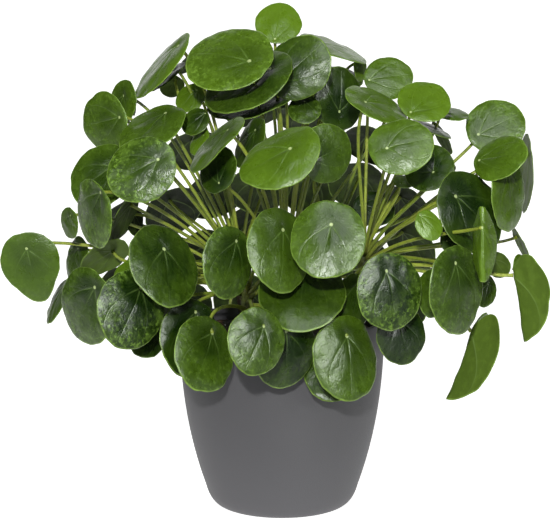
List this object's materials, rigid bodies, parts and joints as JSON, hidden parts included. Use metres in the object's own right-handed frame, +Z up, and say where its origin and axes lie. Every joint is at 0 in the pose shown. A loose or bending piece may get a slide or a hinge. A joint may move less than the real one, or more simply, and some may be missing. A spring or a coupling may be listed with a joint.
{
  "type": "potted chinese money plant",
  "caption": "Bushy house plant with round coin-shaped leaves on long thin stalks, growing in a plain tapered dark grey plastic pot filled with soil.",
  "frame": {"origin": "middle of the pot's flat underside, where the pot stands", "axes": "+Z up along the pot's axis, -Y towards the side that the picture shows, +X to its right"},
  "size_m": [0.47, 0.3786, 0.4505],
  "materials": {
    "pot": "matte",
    "soil": "matte",
    "stem": "matte",
    "foliage": "satin"
  },
  "bodies": {
    "root": {"pot": "pot", "soil": "soil", "stem_left": "stem", "stem_front": "stem", "stem_top": "stem", "stem_right": "stem", "stem_back_left": "stem", "stem_back_right": "stem", "foliage_left": "foliage", "foliage_front": "foliage", "foliage_top": "foliage", "foliage_right": "foliage", "foliage_back_left": "foliage", "foliage_back_right": "foliage"}
  },
  "joints": []
}
